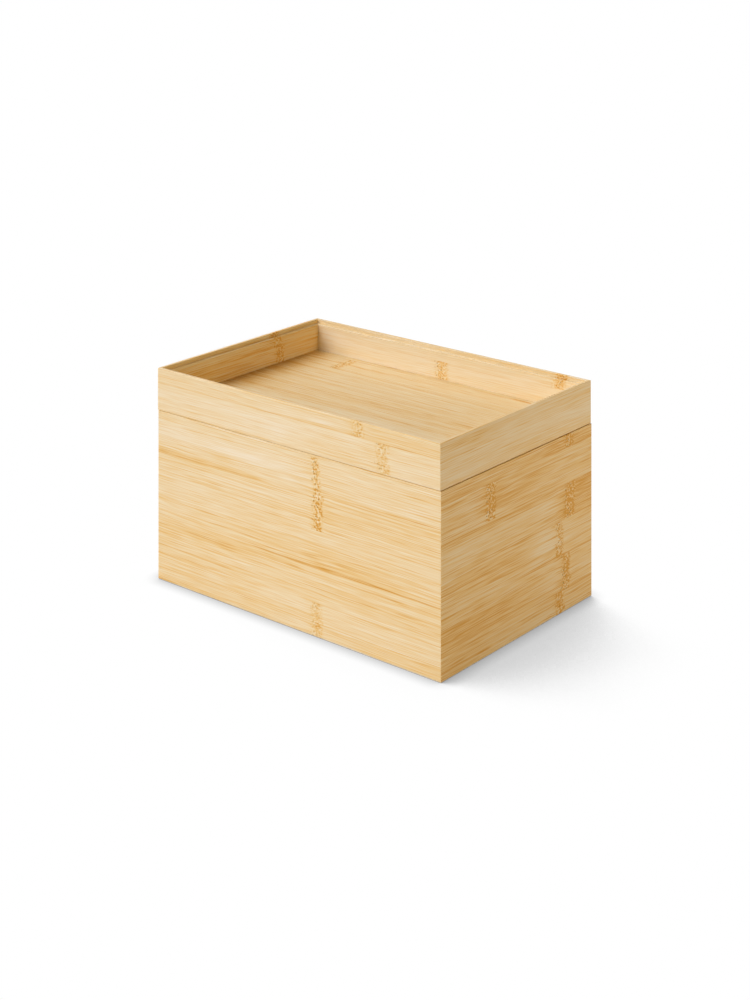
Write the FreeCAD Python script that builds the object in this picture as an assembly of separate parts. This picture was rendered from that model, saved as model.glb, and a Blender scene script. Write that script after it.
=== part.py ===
import FreeCAD, Part
import os
from math import sqrt

# A lidded storage box of flat-pressed bamboo board. Four mitred walls stand round a base panel, and
# the lift-off lid is a shallow tray built the same way. Millimetres, +Z up, the long side along X and
# the front at -Y, with the origin at the middle of the underside.

# Outside sizes
LENGTH = 254.0        # along X
DEPTH = 172.0         # along Y
BOX_HEIGHT = 120.0    # from the underside to the seam under the lid
LID_HEIGHT = 29.8     # from the lid's lower edge to its rim
SEAM_GAP = 0.2        # the dark line between the walls and the lid

# Thickness of the boards
WALL = 5.0            # the box's walls and the lid's rails
BASE_BOARD = 5.0
TRAY_BOARD = 5.0

# The step inside each top edge, and the tongue under the lid that stands on the box's step
RIM = 2.5             # width of the rim that the step leaves
STEP_DEPTH = 3.0
LID_PLAY = 0.8        # between the tongue and the rim, on each side
LID_SHIFT = 0.5       # how far to the left of the middle the loose lid lies

# Panels in their grooves
GROOVE_DEPTH = 2.0
GROOVE_SLACK = 0.1    # groove height over the panel's thickness
PANEL_FLOAT = 0.4     # room for the panel to swell at each edge
BASE_LIP = 3.0        # board below the base panel
TRAY_LIP = 5.0        # board below the tray panel, down to the tongue's end

# Blind splines across the mitres
SPLINE_WIDTH = 4.0
SPLINE_THICKNESS = 1.2
SPLINE_COVER = 1.2    # board left outside a spline's slot
SPLINE_STOP = 4.0     # from a slot's end to the groove or the step
GLUE_GAP = 0.05

# Rounding of the edges
CORNER_EASE = 0.5     # upright corners
EDGE_EASE = 0.4       # rims and the edges at the seam
FOOT_EASE = 0.9       # round the underside
INNER_EASE = 0.3      # steps and tongue

# Heights worked out from these
LID_BOTTOM = BOX_HEIGHT + SEAM_GAP
LID_TOP = LID_BOTTOM + LID_HEIGHT
BOX_STEP = BOX_HEIGHT - STEP_DEPTH
LID_STEP = LID_TOP - STEP_DEPTH
BASE_TOP = BASE_LIP + BASE_BOARD
TRAY_BOTTOM = BOX_STEP + TRAY_LIP
TRAY_TOP = TRAY_BOTTOM + TRAY_BOARD

TOUCH = 1e-4          # nearer than this counts as the same place
PAST = 1.0            # how far a cutting solid runs past what it cuts
SIDES = ("front", "back", "left", "right")
CORNERS = {
    "front_left": (-1, -1),
    "front_right": (1, -1),
    "back_left": (-1, 1),
    "back_right": (1, 1),
}


def slab(inset, low, high):
    """A box set in from the outline by the same amount on all four sides, between two heights."""
    corner = FreeCAD.Vector(inset - LENGTH / 2, inset - DEPTH / 2, low)
    return Part.makeBox(LENGTH - 2 * inset, DEPTH - 2 * inset, high - low, corner)


def inset_of(point):
    """How far a point lies inside the outline."""
    return min(LENGTH / 2 - abs(point.x), DEPTH / 2 - abs(point.y))


def level_edges(shape, height):
    """The edges of a shape that lie flat at one height."""
    boxes = [(edge, edge.BoundBox) for edge in shape.Edges]
    return [edge for edge, box in boxes if abs(box.ZMin - height) < TOUCH and abs(box.ZMax - height) < TOUCH]


def eased_block(low, high, low_ease):
    """A block of the whole outline, rounded along its level edges and its upright corners."""
    block = slab(0, low, high)
    block = block.makeFillet(low_ease, level_edges(block, low))
    block = block.makeFillet(EDGE_EASE, level_edges(block, high))
    post = slab(0, low, high)
    uprights = [edge for edge in post.Edges if edge.BoundBox.ZLength > TOUCH]
    return block.common(post.makeFillet(CORNER_EASE, uprights))


def ease_level_edges(board, places):
    """A board with its straight level edges rounded at the places given as inset and height."""
    edges = []
    for inset, height in places:
        level = level_edges(board, height)
        edges += [edge for edge in level if abs(inset_of(edge.CenterOfMass) - inset) < TOUCH]
    return board.makeFillet(INNER_EASE, edges)


def mitre_wedge(side, low, high):
    """The space that one side's board may fill, bounded by the mitre planes at its two ends."""
    long_side = side in ("front", "back")
    half, across = (LENGTH / 2, DEPTH / 2) if long_side else (DEPTH / 2, LENGTH / 2)
    sign = -1 if side in ("front", "left") else 1
    near, far = across + PAST, across - WALL - PAST
    outline = [(half + PAST, near), (-half - PAST, near), (WALL + PAST - half, far), (half - WALL - PAST, far)]
    points = []
    for along, out in outline + outline[:1]:
        x, y = (along, sign * out) if long_side else (sign * out, along)
        points.append(FreeCAD.Vector(x, y, low - PAST))
    face = Part.Face(Part.makePolygon(points))
    return face.extrude(FreeCAD.Vector(0, 0, high - low + 2 * PAST))


def spline(corner, low, high, gap=0.0):
    """A strip across one corner's mitre, standing between two heights, or its slot when given a gap."""
    side_x, side_y = corner
    width = SPLINE_WIDTH + 2 * gap
    thickness = SPLINE_THICKNESS + 2 * gap
    strip = Part.makeBox(width, thickness, high - low + 2 * gap)
    strip.translate(FreeCAD.Vector(-width / 2, -thickness / 2, low - gap))
    strip.rotate(FreeCAD.Vector(0, 0, 0), FreeCAD.Vector(0, 0, 1), -45 * side_x * side_y)
    from_corner = SPLINE_COVER * sqrt(2) + SPLINE_WIDTH / 2 + SPLINE_THICKNESS / 2
    inset = from_corner / sqrt(2)
    strip.translate(FreeCAD.Vector(side_x * (LENGTH / 2 - inset), side_y * (DEPTH / 2 - inset), 0))
    return strip


def boards(ring, spline_span, eased_places):
    """The four boards of a ring, cut apart at the mitres, slotted for the splines and eased inside."""
    bounds = ring.BoundBox
    for corner in CORNERS.values():
        ring = ring.cut(spline(corner, *spline_span, gap=GLUE_GAP))
    cut = {}
    for side in SIDES:
        board = ring.common(mitre_wedge(side, bounds.ZMin, bounds.ZMax)).Solids[0]
        cut[side] = ease_level_edges(board, eased_places)
    return cut


def groove(low, thickness):
    """What a panel's groove takes out of the boards."""
    return slab(WALL - GROOVE_DEPTH, low, low + thickness + GROOVE_SLACK)


def panel(low, thickness):
    """A board that sits in its groove with room to swell."""
    return slab(WALL - GROOVE_DEPTH + PANEL_FLOAT, low, low + thickness)


def box_pieces():
    """The box's walls, base panel and splines."""
    ring = eased_block(0, BOX_HEIGHT, FOOT_EASE)
    ring = ring.cut(slab(WALL, -PAST, BOX_HEIGHT + PAST))
    ring = ring.cut(slab(RIM, BOX_STEP, BOX_HEIGHT + PAST))
    ring = ring.cut(groove(BASE_LIP, BASE_BOARD))
    span = (BASE_TOP + GROOVE_SLACK + SPLINE_STOP, BOX_STEP - SPLINE_STOP)
    walls = boards(ring, span, [(RIM, BOX_HEIGHT), (WALL, BOX_STEP)])
    pieces = {f"box_{side}_wall": wall for side, wall in walls.items()}
    pieces["box_base_panel"] = panel(BASE_LIP, BASE_BOARD)
    for name, corner in CORNERS.items():
        pieces[f"box_{name}_spline"] = spline(corner, *span)
    return pieces


def lid_pieces():
    """The lid's rails, tray panel and splines."""
    ring = eased_block(LID_BOTTOM, LID_TOP, EDGE_EASE)
    ring = ring.fuse(slab(RIM + LID_PLAY, BOX_STEP, LID_STEP))
    ring = ring.cut(slab(WALL, BOX_STEP - PAST, LID_TOP + PAST))
    ring = ring.cut(slab(RIM, LID_STEP, LID_TOP + PAST))
    ring = ring.cut(groove(TRAY_BOTTOM, TRAY_BOARD))
    span = (TRAY_TOP + GROOVE_SLACK + SPLINE_STOP, LID_STEP - SPLINE_STOP)
    rails = boards(ring, span, [(RIM, LID_TOP), (WALL, LID_STEP), (RIM + LID_PLAY, BOX_STEP)])
    pieces = {f"lid_{side}_rail": rail for side, rail in rails.items()}
    pieces["lid_tray_panel"] = panel(TRAY_BOTTOM, TRAY_BOARD)
    for name, corner in CORNERS.items():
        pieces[f"lid_{name}_spline"] = spline(corner, *span)
    for piece in pieces.values():
        piece.translate(FreeCAD.Vector(-LID_SHIFT, 0, 0))
    return pieces


os.makedirs("parts", exist_ok=True)
for node, shape in {**box_pieces(), **lid_pieces()}.items():
    shape.exportStep(f"parts/{node}.step")
    print(f"{node}: {len(shape.Solids)} solid, valid {shape.isValid()}, {shape.Volume:.1f} mm3")
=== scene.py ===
from collections import namedtuple
from math import cos, floor, hypot, pi, radians, sin

import bpy
from mathutils import Matrix, Vector

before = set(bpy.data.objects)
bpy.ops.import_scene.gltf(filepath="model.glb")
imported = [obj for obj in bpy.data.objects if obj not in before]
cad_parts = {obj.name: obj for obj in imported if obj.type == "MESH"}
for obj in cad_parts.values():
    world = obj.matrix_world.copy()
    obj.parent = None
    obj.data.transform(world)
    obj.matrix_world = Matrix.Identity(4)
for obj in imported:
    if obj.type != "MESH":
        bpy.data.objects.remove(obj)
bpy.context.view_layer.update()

# Camera: the photograph's upright edges stay parallel, so its picture plane is upright too.
FRAME_HEIGHT_PX = 1000
FOCAL_PX = 1879.8              # distance to the picture plane
HORIZON_PX = -184.8            # eye level, counted down from the frame's top edge
CAMERA_PLACE = (0.8451, -1.0192, 0.5436)
CAMERA_TURN = radians(39.59)   # from looking straight at the front
SENSOR_MM = 36.0

# Broad lamps far away: the share of full brightness that each gives a white card facing it, its colour,
# the direction it shines from, and how wide it is
LAMP_WHITE = (1.0, 0.92, 0.95)  # a little pink, as the colours of the bamboo are a little yellow
WARM = (1.0, 0.78, 0.57)       # light off warm things on the right
Lamp = namedtuple("Lamp", "share colour direction spread")
LAMPS = {
    "key": Lamp(0.64, LAMP_WHITE, (-0.58, 0.08, 0.81), radians(66)),
    "front_fill": Lamp(0.56, LAMP_WHITE, (-0.30, -0.86, 0.42), radians(36)),
    "back_fill": Lamp(0.35, LAMP_WHITE, (-0.10, 0.99, 0.10), radians(12)),
    "side_fill": Lamp(0.22, WARM, (0.98, 0.0, 0.19), radians(12)),
}

# Low cards that each light one wall: brightness, size, place and the direction that they shine from
Card = namedtuple("Card", "glow size place direction")
CARDS = {
    "right_card": Card(3.60, (0.60, 0.10), (0.53, 0.20, 0.045), (1.0, 0.0, 0.0)),
    "front_card": Card(3.75, (0.90, 0.10), (0.0, -0.70, 0.090), (0.0, -1.0, 0.0)),
}

# Studio
SKY = 0.03                     # its light on the object
FLOOR_BOUNCE = 0.45            # the floor's albedo for the light it throws on the object
FLOOR_REACH = 4.0
FLOOR_SIDES = 64

# The shadow that the camera sees on the floor, white where the floor is open
SHADOW_FROM = (-0.90, 0.10, 0.40)
SHADOW_SPAN = (0.33, 0.64)     # how open the floor is where the shadow is deepest and where it ends
SHADOW_DEPTH = 0.40
CONTACT_REACH = 0.012          # of the dark line along the foot of the walls
CONTACT_POWER = 0.6

# Colours of bamboo by tone, from 0 to 1
SCORCHED = (0.70, 0.36, 0.06)
HONEY = (0.825, 0.58, 0.225)
STRAW = (0.850, 0.667, 0.345)
CREAM = (0.877, 0.75, 0.468)
BLEACHED = (0.91, 0.826, 0.61)
TONES = [(0.0, SCORCHED), (0.25, HONEY), (0.5, STRAW), (0.75, CREAM), (1.0, BLEACHED)]
PORE_BROWN = (0.42, 0.23, 0.05)

# Flat-pressed board: strips glued side by side. Sizes from here on are in millimetres.
MM = 1000.0                    # millimetres in a metre
STRIP_WIDTH = 24.0
STRIP_TONES = 0.12             # how far the strips' tones differ
STRIP_SLIDE = 900.0            # how far the strips' fibres are slid apart
GLUE_LINE = 0.5                # half the width of a glue line, and of its darkest part
GLUE_CORE = 0.1
GLUE_TONE = -0.22
GLUE_PATCH = 50.0              # length of the stretches where a glue line comes and goes
GLUE_SHOWS = (-0.05, 0.15)     # noise where it begins to show and where it is full

# Layers of fibre, each with its weight in the tone
Fibre = namedtuple("Fibre", "width length weight")
FIBRES = [
    Fibre(28.0, 320.0, 0.34),
    Fibre(12.0, 160.0, 0.24),
    Fibre(6.0, 140.0, 0.18),
    Fibre(3.0, 110.0, 0.10),
    Fibre(1.3, 80.0, 0.05),
    Fibre(0.4, 16.0, 0.70),
    Fibre(0.45, 60.0, 0.56),
    Fibre(0.5, 160.0, 0.54),
]

# Sparse crisp lines among them, whose weight is the tone that they add
LINES = [
    Fibre(0.7, 90.0, -0.10),
    Fibre(0.8, 60.0, 0.09),
    Fibre(1.5, 130.0, -0.06),
]
LINE_EDGE = (0.05, 0.20)       # noise where a line begins and where it is full
FIBRE_FLATNESS = 0.3           # width of a fibre over its depth into the board
FIBRE_APART = 17.0             # distance in the noise from one layer to the next
LINE_APART = 23.0

# How the fibres sway: length and width of the ripples, and how far they go
Ripple = namedtuple("Ripple", "length width reach")
LONG_SWAY = Ripple(120.0, 20.0, 1.8)
SHORT_SWAY = Ripple(40.0, 7.0, 0.4)
KNUCKLE_SWAY = Ripple(8.0, 5.0, 1.3)
SWAY_SPAN = (20.0, 2.0)        # distance from a knuckle where its sway begins and where it is full

# Knuckles: how they bend and fray across the strip
WANDER = Ripple(9.0, 9.0, 5.0)
FRAY = Ripple(2.2, 4.0, 3.0)
NO_KNUCKLE = 1e4               # so far off that it doesn't show

# Stretches past a knuckle's middle, where each thing begins, is full, begins to fade, and ends
CLOUD_SPAN = (-6.0, 0.0, 2.8, 6.0)
FLECK_SPAN = (-6.0, -1.5, 2.5, 6.0)
LEAD_IN_SPAN = (-16.0, -3.0, -4.0, 1.0)
PALE_SPAN = (-44.0, -10.0, -10.0, -3.0)
PORE_SPAN = (-5.5, -3.5, 1.0, 3.0)

# What makes up a knuckle: sizes along, across and through, shares and tones
BLOTCH_SIZE = (4.0, 3.0, 3.0)
BLOTCH_EDGE = (-0.22, 0.12)
BLOTCH_SHARE = 0.6             # of the orange cloud's depth
CLOUD_DEPTH = 0.6
FLECK_SIZE = (1.5, 1.1, 1.5)
FLECK_CONTRAST = 1.3
FLECK_TONE = -0.02
LEAD_IN_SIZE = (40.0, 1.4)
LEAD_IN_EDGE = (0.0, 0.16)
LEAD_IN_TONE = -0.16
PALE_EDGE = (-0.1, 0.1)        # the tone of the fibres that go pale
PALE_TONE = 0.08
PORE_GRID = (2.3, 2.3, 6.0)
PORE_EDGE = (0.30, 0.14)       # distance from a pore's middle, in grid cells
PORE_SHARE = 0.75
HIGHLIGHT_ASIDE = (0.40, -0.28)     # of the painted highlight from its pore, in grid cells
HIGHLIGHT_EDGE = (0.34, 0.12)
HIGHLIGHT_TONE = 0.26

# Satin finish
ROUGHNESS = 0.5
ROUGHNESS_SPREAD = 0.2
GLOSS = 0.1
BUMP_STRENGTH = 0.25
BUMP_HEIGHT = 0.1
GLUE_SINK = 0.4                # how far a glue line lies below the fibres, in the bump's units

# One board: the axes along, across and through its grain, the place of one glue line across it, its mean
# tone, the contrast of its fibres, its knuckles, its streaks, and its painted pale inside, if it has one.
# That is painted light: it changes the tone between two places through the board, so that the inner face
# stays paler than the outer face under the warm light bounced onto it.
Board = namedtuple("Board", "axes glue_line tone contrast knuckles streaks skin", defaults=[None])
Knuckle = namedtuple("Knuckle", "along across strength breadth")
# A streak is a band of tone along the grain: most are the wood's own, and two on the tray are painted light
# and shade
Streak = namedtuple("Streak", "across start end width tone")
Skin = namedtuple("Skin", "start end tone")
PAST_END = 200.0               # a streak that starts or ends here runs off the board
FADE = 18.0                    # length over which a long streak dies away
BOARDS = {
    "box_front_wall": Board(
        "xzy", 22.5, 0.54, 0.94,
        [Knuckle(22, 107, 1.0, 0.8), Knuckle(24, 82, 1.1, 1.0), Knuckle(23, 11, 0.7, 1.1)],
        [
            Streak(107.0, -PAST_END, 0, 15.0, 0.23),
            Streak(108.0, 30, PAST_END, 16.0, 0.12),
            Streak(92.3, -PAST_END, -30, 3.2, -0.26),
            Streak(95.8, -PAST_END, 15, 0.9, 0.16),
            Streak(86.8, -PAST_END, -25, 0.9, -0.18),
            Streak(60.0, -PAST_END, -60, 10.0, 0.06),
            Streak(57.0, 10, PAST_END, 15.0, -0.10),
            Streak(46.2, -40, PAST_END, 1.1, -0.20),
            Streak(40.8, 15, PAST_END, 0.8, -0.08),
            Streak(35.0, -PAST_END, PAST_END, 14.0, -0.06),
            Streak(70.2, 10, PAST_END, 0.8, -0.18),
            Streak(22.5, 15, PAST_END, 0.8, -0.18),
        ],
    ),
    "box_right_wall": Board(
        # A lower tone than the front's: partly this board's own colour, partly painted shade, darker and more
        # golden on this side away from the key light
        "yzx", 15.0, 0.26, 0.88,
        [
            Knuckle(58, 115, 1.2, 1.2), Knuckle(-33, 99, 1.3, 1.2), Knuckle(59, 75, 1.4, 1.4),
            Knuckle(46, 51, 1.2, 1.0), Knuckle(53, 27, 1.3, 1.1), Knuckle(46, 7, 1.2, 1.1),
        ],
        [
            Streak(113.0, -PAST_END, -36, 3.0, -0.14),
            Streak(98.0, 20, PAST_END, 12.0, 0.10),
            Streak(99.0, -43, 40, 12.0, -0.09),
            Streak(90.0, -20, 38, 3.5, -0.14),
            Streak(75.0, -PAST_END, 46, 15.0, 0.22),
            Streak(68.3, -80, 0, 1.2, -0.12),
            Streak(62.6, -PAST_END, 20, 1.0, -0.18),
            Streak(52.0, -PAST_END, 0, 12.0, -0.10),
            Streak(50.0, 15, 42, 5.0, 0.14),
            Streak(51.0, 20, PAST_END, 13.0, 0.12),
            Streak(40.0, -10, PAST_END, 1.4, -0.14),
            Streak(35.0, -53, -41, 1.6, -0.24),
            Streak(27.0, -PAST_END, PAST_END, 12.0, -0.08),
            Streak(6.0, -PAST_END, -30, 10.0, -0.10),
        ],
    ),
    "box_back_wall": Board(
        "xzy", 18.0, 0.48, 1.0,
        [
            Knuckle(-64, 100, 1.0, 1.0), Knuckle(-60, 76, 1.0, 1.2),
            Knuckle(71, 52, 0.8, 1.0), Knuckle(-20, 5, 0.7, 1.0),
        ],
        [Streak(88.0, -20, PAST_END, 2.4, -0.14), Streak(30.0, -PAST_END, 40, 1.0, -0.14)],
    ),
    "box_left_wall": Board(
        "yzx", 9.0, 0.46, 1.1,
        [
            Knuckle(-41, 115, 0.8, 1.0), Knuckle(30, 93, 1.0, 1.2),
            Knuckle(-36, 45, 1.0, 1.0), Knuckle(55, 21, 0.7, 1.0),
        ],
        [Streak(70.0, -PAST_END, 10, 2.0, -0.12)],
    ),
    "box_base_panel": Board(
        "xyz", 5.0, 0.46, 1.0,
        [
            Knuckle(-70, 66, 0.8, 1.0), Knuckle(40, 42, 1.0, 1.0),
            Knuckle(-25, -6, 0.8, 1.0), Knuckle(88, -54, 1.0, 1.2),
        ],
        [],
    ),
    "lid_front_rail": Board(
        "xzy", 139.8, 0.61, 0.85,
        [Knuckle(58, 145, 0.7, 1.2), Knuckle(79, 130, 0.75, 1.3)],
        [
            Streak(139.8, -PAST_END, PAST_END, 0.9, -0.12),
            Streak(130.0, -PAST_END, 10, 13.0, 0.18),
            Streak(146.0, -PAST_END, 60, 10.0, 0.08),
            Streak(125.0, -25, 60, 0.8, -0.10),
        ],
    ),
    "lid_right_rail": Board(
        # A lower tone than the front's: partly this board's own colour, partly painted shade, darker and more
        # golden on this side away from the key light
        "yzx", 140.0, 0.42, 0.85,
        [],
        [Streak(146.0, -PAST_END, -30, 9.0, -0.18), Streak(131.0, -PAST_END, PAST_END, 13.0, 0.22)],
    ),
    "lid_back_rail": Board(
        # Painted light: a pale tone for the inner face, against the warm light bounced onto it from the tray;
        # the step through the board takes the outer face back down to a plain tone
        "xzy", 140.3, 0.86, 0.9,
        [Knuckle(-1, 134, 1.0, 1.3), Knuckle(103, 145, 1.0, 1.3)],
        [],
        Skin(82.0, 85.0, -0.26),
    ),
    "lid_left_rail": Board(
        # Painted shade: a lower tone than the front's, darker and more golden for the inner face, which faces
        # away from the key light
        "yzx", 140.0, 0.33, 0.9,
        [Knuckle(34, 145, 0.9, 1.1), Knuckle(36, 134, 0.9, 1.2)],
        [],
    ),
    "lid_tray_panel": Board(
        "xyz", 52.3, 0.45, 1.1,
        [Knuckle(-82, 68, 1.0, 1.0)],
        [
            Streak(77.6, 66, 82, 1.8, -0.40),
            Streak(8.3, 62, 86, 1.8, -0.30),
            # Painted shade: the tray's left end, beside the left rail, darker and more golden where the
            # rail's shadow falls
            Streak(20.0, -PAST_END, -104, 300.0, -0.36),
            # Painted light: paler along the back rail, against the warm light that bounces off the rail onto
            # the tray
            Streak(82.0, -PAST_END, PAST_END, 28.0, 0.10),
            Streak(-40.0, -PAST_END, PAST_END, 40.0, 0.17),
        ],
    ),
}
SPLINE = Board("zxy", 0.0, 0.36, 1.0, [], [])
SEED_APART = 7.3               # distance in the noise from one board to the next


class Signal:
    """A number that varies over a surface. Arithmetic on signals adds Math nodes to the material."""

    def __init__(self, tree, socket):
        self.tree = tree
        self.socket = socket

    def math(self, operation, *others):
        node = self.tree.nodes.new("ShaderNodeMath")
        node.operation = operation
        for socket, value in zip(node.inputs, (self, *others)):
            wire(self.tree, socket, value)
        return Signal(self.tree, node.outputs[0])

    def __add__(self, other):
        return self.math("ADD", other)

    def __sub__(self, other):
        return self.math("SUBTRACT", other)

    def __mul__(self, other):
        return self.math("MULTIPLY", other)

    def __truediv__(self, other):
        return self.math("DIVIDE", other)

    def abs(self):
        return self.math("ABSOLUTE")

    def step(self, low, high):
        """A smooth rise from 0 at low to 1 at high, or a fall when low is the larger."""
        node = self.tree.nodes.new("ShaderNodeMapRange")
        node.interpolation_type = "SMOOTHSTEP"
        wire(self.tree, node.inputs["Value"], self)
        ends = (low, high, 0.0, 1.0) if low < high else (high, low, 1.0, 0.0)
        for name, value in zip(("From Min", "From Max", "To Min", "To Max"), ends):
            node.inputs[name].default_value = value
        return Signal(self.tree, node.outputs["Result"])

    def span(self, start, full, fade, end):
        """A smooth rise from 0 at start to 1 at full, and a fall from fade to 0 at end."""
        return self.step(start, full) * self.step(end, fade)


def wire(tree, socket, value):
    """Sets a socket to a signal, another socket, or a plain value."""
    if isinstance(value, Signal):
        value = value.socket
    if isinstance(value, bpy.types.NodeSocket):
        tree.links.new(value, socket)
    else:
        socket.default_value = value


def total(signals):
    """The sum of signals."""
    first, *rest = signals
    for signal in rest:
        first = first + signal
    return first


def vector(tree, *parts):
    """A vector socket made of three signals or numbers."""
    node = tree.nodes.new("ShaderNodeCombineXYZ")
    for socket, part in zip(node.inputs, parts):
        wire(tree, socket, part)
    return node.outputs[0]


def noise(tree, *place):
    """Soft noise about 0, with features one unit across in the place it is given."""
    node = tree.nodes.new("ShaderNodeTexNoise")
    wire(tree, node.inputs["Vector"], vector(tree, *place))
    node.inputs["Scale"].default_value = 1.0
    node.inputs["Detail"].default_value = 0.0
    return Signal(tree, node.outputs["Fac"]) - 0.5


def ripple(tree, shape, along, across, seed):
    """Soft noise about 0 in ripples of one length, width and reach."""
    return noise(tree, along / shape.length, across / shape.width, seed) * shape.reach


def dots(tree, *place):
    """Distance to the nearest of one random dot in each unit cell."""
    node = tree.nodes.new("ShaderNodeTexVoronoi")
    wire(tree, node.inputs["Vector"], vector(tree, *place))
    node.inputs["Scale"].default_value = 1.0
    return Signal(tree, node.outputs["Distance"])


def mixed(tree, share, under, over):
    """A colour socket that goes from under to over as share goes from 0 to 1."""
    node = tree.nodes.new("ShaderNodeMix")
    node.data_type = "RGBA"
    colour_a, colour_b = [socket for socket in node.inputs if socket.type == "RGBA"]
    wire(tree, node.inputs[0], share)
    for socket, colour in ((colour_a, under), (colour_b, over)):
        wire(tree, socket, (*colour, 1.0) if isinstance(colour, tuple) else colour)
    return next(socket for socket in node.outputs if socket.type == "RGBA")


def tone_colour(tree, tone):
    """The bamboo colour of each tone, from scorched to bleached."""
    ramp = tree.nodes.new("ShaderNodeValToRGB")
    stops = ramp.color_ramp.elements
    while len(stops) < len(TONES):
        stops.new(0.5)
    for stop, (place, colour) in zip(stops, TONES):
        stop.position = place
        stop.color = (*colour, 1.0)
    wire(tree, ramp.inputs["Fac"], tone)
    return ramp.outputs["Color"]


def grain_places(tree, axes):
    """Millimetres along, across and through the grain, in the object's own coordinates."""
    coordinates = tree.nodes.new("ShaderNodeTexCoord")
    split = tree.nodes.new("ShaderNodeSeparateXYZ")
    tree.links.new(coordinates.outputs["Object"], split.inputs[0])
    return [Signal(tree, split.outputs["xyz".index(axis)]) * MM for axis in axes]


def strip_chance(tree, strip, seed):
    """Two random numbers from 0 to 1 for each strip."""
    chance = tree.nodes.new("ShaderNodeTexWhiteNoise")
    wire(tree, chance.inputs["Vector"], vector(tree, strip, seed, 0.0))
    rolls = tree.nodes.new("ShaderNodeSeparateColor")
    tree.links.new(chance.outputs["Color"], rolls.inputs[0])
    return Signal(tree, rolls.outputs[0]), Signal(tree, rolls.outputs[1])


def find_knuckle(board, strip):
    """The place along the board, the strength and the breadth of the strip's own knuckle."""
    place, strength, breadth = strip * 0.0 + NO_KNUCKLE, strip * 0.0, strip * 0.0 + 1.0
    for knuckle in board.knuckles:
        index = floor((knuckle.across - board.glue_line) / STRIP_WIDTH)
        here = strip.math("COMPARE", index, 0.5)
        place = place + here * (knuckle.along - NO_KNUCKLE)
        strength = strength + here * knuckle.strength
        breadth = breadth + here * (knuckle.breadth - 1.0)
    return place, strength, breadth


def fibre_layers(tree, slid, swayed, through, seed):
    """The layers of fibre and the crisp lines among them, each as the tone that it adds."""
    def threads(layers, apart):
        for index, layer in enumerate(layers):
            depth = through / layer.width * FIBRE_FLATNESS + index * apart + seed
            yield layer.weight, noise(tree, slid / layer.length, swayed / layer.width, depth)

    fibres = [thread * weight for weight, thread in threads(FIBRES, FIBRE_APART)]
    lines = [thread.step(*LINE_EDGE) * weight for weight, thread in threads(LINES, LINE_APART)]
    return fibres, lines


def knuckle_cloud(tree, place, past, strength):
    """How deep the blotched orange cloud of a knuckle is."""
    blotch = noise(tree, *(part / size for part, size in zip(place, BLOTCH_SIZE))).step(*BLOTCH_EDGE)
    return past.span(*CLOUD_SPAN) * strength * (blotch * BLOTCH_SHARE + (1.0 - BLOTCH_SHARE))


def knuckle_pores(tree, place, past, strength):
    """The pores of a knuckle, and a painted highlight beside each."""
    rows = past.span(*PORE_SPAN) * strength
    along, across, through = (part / size for part, size in zip(place, PORE_GRID))
    aside, aside_across = HIGHLIGHT_ASIDE
    pore = dots(tree, along, across, through).step(*PORE_EDGE) * rows
    pore_highlight = dots(tree, along + aside, across + aside_across, through).step(*HIGHLIGHT_EDGE) * rows
    return pore, pore_highlight


def knuckle_flecks(tree, place, past, strength):
    """The tone of the flecks in a knuckle."""
    fleck = noise(tree, *(part / size for part, size in zip(place, FLECK_SIZE)))
    return past.span(*FLECK_SPAN) * strength * (fleck * FLECK_CONTRAST + FLECK_TONE)


def knuckle_tails(tree, slid, swayed, past, strength, fibre, seed):
    """The tone of the streaks that lead into a knuckle, and of the pale stretch before them."""
    length, width = LEAD_IN_SIZE
    lead_in = past.span(*LEAD_IN_SPAN) * strength
    lead_in = lead_in * noise(tree, slid / length, swayed / width, seed).step(*LEAD_IN_EDGE)
    pale = past.span(*PALE_SPAN) * strength * fibre.step(*PALE_EDGE)
    return lead_in * LEAD_IN_TONE + pale * PALE_TONE


def streak_tone(streak, along, swayed):
    """The tone that one streak adds."""
    fade = min(FADE, (streak.end - streak.start) / 3)
    core = (swayed - streak.across).abs().step(streak.width, 0.0)
    reach = along.span(streak.start - fade, streak.start + fade, streak.end - fade, streak.end + fade)
    return core * reach * streak.tone


def glue_lines(tree, strip_place, strip, slid, seed):
    """The glue lines between strips, which come and go along the board."""
    to_glue = ((strip_place.math("FRACT") - 0.5).abs() * -1.0 + 0.5) * STRIP_WIDTH
    return to_glue.step(GLUE_LINE, GLUE_CORE) * noise(tree, slid / GLUE_PATCH, strip, seed).step(*GLUE_SHOWS)


def finish_satin(tree, shader, finest, pore, glue):
    """A satin finish, with the finest fibres a little proud of the glue lines."""
    wire(tree, shader.inputs["Roughness"], finest * ROUGHNESS_SPREAD + pore * ROUGHNESS_SPREAD + ROUGHNESS)
    shader.inputs["Specular IOR Level"].default_value = GLOSS
    bump = tree.nodes.new("ShaderNodeBump")
    bump.inputs["Strength"].default_value = BUMP_STRENGTH
    bump.inputs["Distance"].default_value = BUMP_HEIGHT / MM
    wire(tree, bump.inputs["Height"], finest - glue * GLUE_SINK)
    wire(tree, shader.inputs["Normal"], bump.outputs["Normal"])


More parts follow.
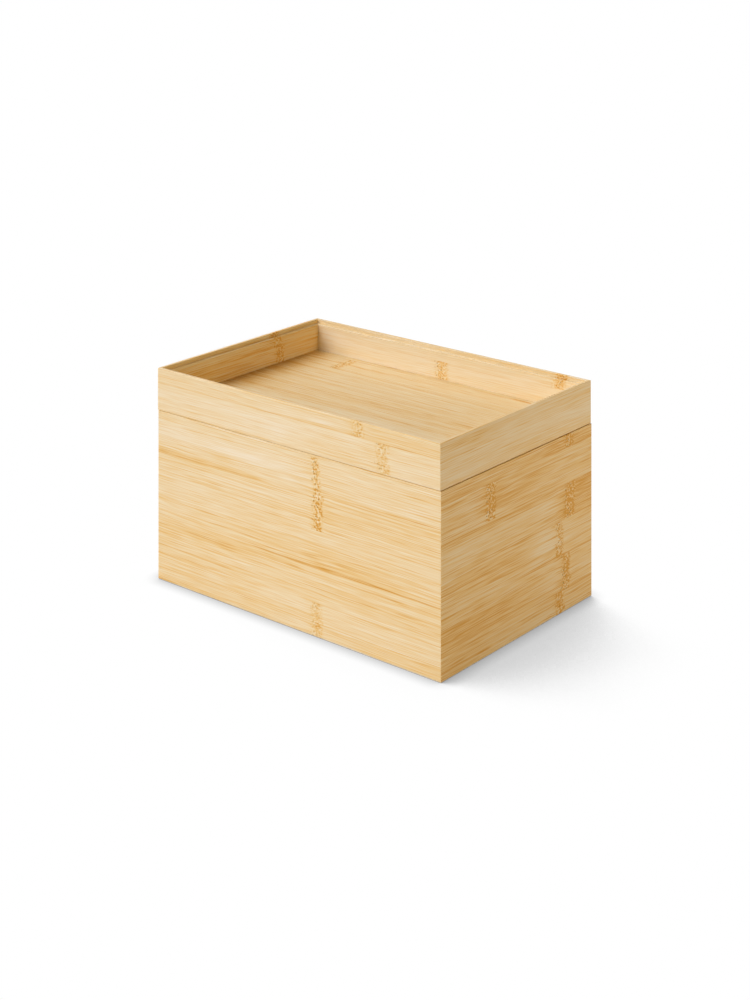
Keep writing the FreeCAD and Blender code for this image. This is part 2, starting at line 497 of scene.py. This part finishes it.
def bamboo(name, board, seed):
    """Flat-pressed bamboo for one board."""
    material = bpy.data.materials.new(f"bamboo_{name}")
    material.use_nodes = True
    tree = material.node_tree
    shader = tree.nodes["Principled BSDF"]
    place = along, across, through = grain_places(tree, board.axes)

    # Strips, each with its own tone and its own stretch of fibre
    strip_place = (across - board.glue_line) / STRIP_WIDTH
    strip = strip_place.math("FLOOR")
    strip_tone, strip_slide = strip_chance(tree, strip, seed)
    slid = along + strip_slide * STRIP_SLIDE
    glue = glue_lines(tree, strip_place, strip, slid, seed)

    # Distance past the strip's knuckle, which wanders and frays as it crosses the strip
    knuckle, strength, breadth = find_knuckle(board, strip)
    wander = ripple(tree, WANDER, across, through, seed) + ripple(tree, FRAY, across, along, seed)
    past = (along - knuckle + wander) / breadth

    # Fibres that sway a little, and more near a knuckle
    near = past.abs().step(*SWAY_SPAN) * strength
    sway = ripple(tree, LONG_SWAY, slid, across, seed) + ripple(tree, SHORT_SWAY, slid, across, seed)
    swayed = across + sway + ripple(tree, KNUCKLE_SWAY, along, across, seed) * near
    fibres, lines = fibre_layers(tree, slid, swayed, through, seed)
    fibre = total(fibres + lines)

    # Tone of the strips and fibres, darker in a knuckle's cloud, and what lies over them
    cloud = knuckle_cloud(tree, place, past, strength)
    pore, pore_highlight = knuckle_pores(tree, place, past, strength)
    tone = fibre * board.contrast + strip_tone * STRIP_TONES + (board.tone - STRIP_TONES / 2)
    tone = tone * (cloud * -CLOUD_DEPTH + 1.0)
    # A painted highlight beside each pore
    tone = tone + knuckle_flecks(tree, place, past, strength) + pore_highlight * HIGHLIGHT_TONE
    tone = tone + knuckle_tails(tree, slid, swayed, past, strength, fibre, seed)
    tone = total([tone] + [streak_tone(streak, along, swayed) for streak in board.streaks])
    # Painted light: a step in tone through the board, which keeps its inner face paler than its outer face
    if board.skin:
        tone = tone + through.step(board.skin.start, board.skin.end) * board.skin.tone

    colour = tone_colour(tree, tone + glue * GLUE_TONE)
    wire(tree, shader.inputs["Base Color"], mixed(tree, pore * PORE_SHARE, colour, PORE_BROWN))
    finish_satin(tree, shader, fibres[-1], pore, glue)
    return material


def seen_share(tree):
    """1 for rays that show a surface to the camera, straight or in gloss and glass, and 0 for its light."""
    path = tree.nodes.new("ShaderNodeLightPath")
    camera, glossy, clear = (
        Signal(tree, path.outputs[f"Is {kind} Ray"]) for kind in ("Camera", "Glossy", "Transmission")
    )
    return camera.math("MAXIMUM", glossy).math("MAXIMUM", clear)


def openness(tree, direction, reach):
    """How much of the half sphere about a direction is open, from 0 to 1, to things within reach."""
    node = tree.nodes.new("ShaderNodeAmbientOcclusion")
    node.inputs["Distance"].default_value = reach
    wire(tree, node.inputs["Normal"], vector(tree, *Vector(direction).normalized()))
    return Signal(tree, node.outputs["AO"])


def make_floor():
    """A wide pale floor, white to look at, that keeps the object's shadow."""
    turns = [2 * pi * side / FLOOR_SIDES for side in range(FLOOR_SIDES)]
    ring = [(FLOOR_REACH * cos(turn), FLOOR_REACH * sin(turn), 0.0) for turn in turns]
    mesh = bpy.data.meshes.new("floor")
    mesh.from_pydata(ring, [], [range(len(ring))])
    floor_object = bpy.data.objects.new("floor", mesh)
    bpy.context.scene.collection.objects.link(floor_object)
    material = bpy.data.materials.new("pale_floor")
    material.use_nodes = True
    tree = material.node_tree
    shader = tree.nodes["Principled BSDF"]
    seen = seen_share(tree)
    shadow = openness(tree, SHADOW_FROM, FLOOR_REACH).step(*reversed(SHADOW_SPAN))
    contact = openness(tree, (0.0, 0.0, 1.0), CONTACT_REACH).math("POWER", CONTACT_POWER)
    wire(tree, shader.inputs["Base Color"], mixed(tree, seen, (FLOOR_BOUNCE,) * 3, (0.0, 0.0, 0.0)))
    shader.inputs["Specular IOR Level"].default_value = 0.0
    shader.inputs["Emission Color"].default_value = (1.0, 1.0, 1.0, 1.0)
    wire(tree, shader.inputs["Emission Strength"], seen * contact * (shadow * -SHADOW_DEPTH + 1.0))
    mesh.materials.append(material)


def make_sky():
    """An even white studio: dim as a light, white to look at."""
    world = bpy.data.worlds.new("studio")
    world.use_nodes = True
    tree = world.node_tree
    background = tree.nodes["Background"]
    background.inputs["Color"].default_value = (1.0, 1.0, 1.0, 1.0)
    wire(tree, background.inputs["Strength"], seen_share(tree) * (1.0 - SKY) + SKY)
    bpy.context.scene.world = world


def place_light(light, direction):
    """Puts a light in the scene, shining from the direction given."""
    light_object = bpy.data.objects.new(light.name, light)
    light_object.rotation_mode = "QUATERNION"
    light_object.rotation_quaternion = Vector(direction).to_track_quat("Z", "Y")
    bpy.context.scene.collection.objects.link(light_object)
    return light_object


def make_lamp(name, lamp):
    """A broad soft source, far away in one direction."""
    light = bpy.data.lights.new(name, "SUN")
    light.energy = lamp.share * pi
    light.color = lamp.colour
    light.angle = lamp.spread
    place_light(light, lamp.direction)


def make_card(name, card):
    """A low card that lights one wall. It ends below the lid's rim, so the tray gets none of it."""
    light = bpy.data.lights.new(name, "AREA")
    light.shape = "RECTANGLE"
    light.size, light.size_y = card.size
    light.color = LAMP_WHITE
    light.energy = card.glow * pi * light.size * light.size_y
    light_object = place_light(light, card.direction)
    light_object.location = card.place
    light_object.visible_camera = False


def make_camera():
    """A camera with an upright picture plane, as on a view camera, that looks down at the object."""
    camera = bpy.data.cameras.new("camera")
    camera_object = bpy.data.objects.new("camera", camera)
    stand = bpy.data.objects.new("camera_stand", None)
    for item in (stand, camera_object):
        bpy.context.scene.collection.objects.link(item)

    # The line of sight falls towards the object while the camera's up axis stays upright. The parent's
    # matrix holds these slanted axes and does the work of a lens shift.
    fall = (FRAME_HEIGHT_PX / 2 - HORIZON_PX) / FOCAL_PX
    right = Vector((cos(CAMERA_TURN), sin(CAMERA_TURN), 0.0))
    up = Vector((0.0, 0.0, 1.0))
    back = Vector((sin(CAMERA_TURN), -cos(CAMERA_TURN), fall)).normalized()
    axes = Matrix((right, up, back)).transposed().to_4x4()
    camera_object.parent = stand
    camera_object.matrix_parent_inverse = Matrix.Translation(CAMERA_PLACE) @ axes
    camera.sensor_width = SENSOR_MM
    camera.lens = FOCAL_PX * hypot(1.0, fall) / FRAME_HEIGHT_PX * SENSOR_MM
    bpy.context.scene.camera = camera_object


def dress(node, material):
    """Gives a node of the frame its material."""
    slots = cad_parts[node].data.materials
    slots.clear()
    slots.append(material)


for index, (node, board) in enumerate(BOARDS.items()):
    dress(node, bamboo(node, board, index * SEED_APART))
spline_bamboo = bamboo("spline", SPLINE, 0.0)
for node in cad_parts:
    if node.endswith("_spline"):
        dress(node, spline_bamboo)

make_floor()
make_sky()
for name, lamp in LAMPS.items():
    make_lamp(name, lamp)
for name, card in CARDS.items():
    make_card(name, card)
make_camera()
bpy.context.scene.view_settings.view_transform = "Standard"
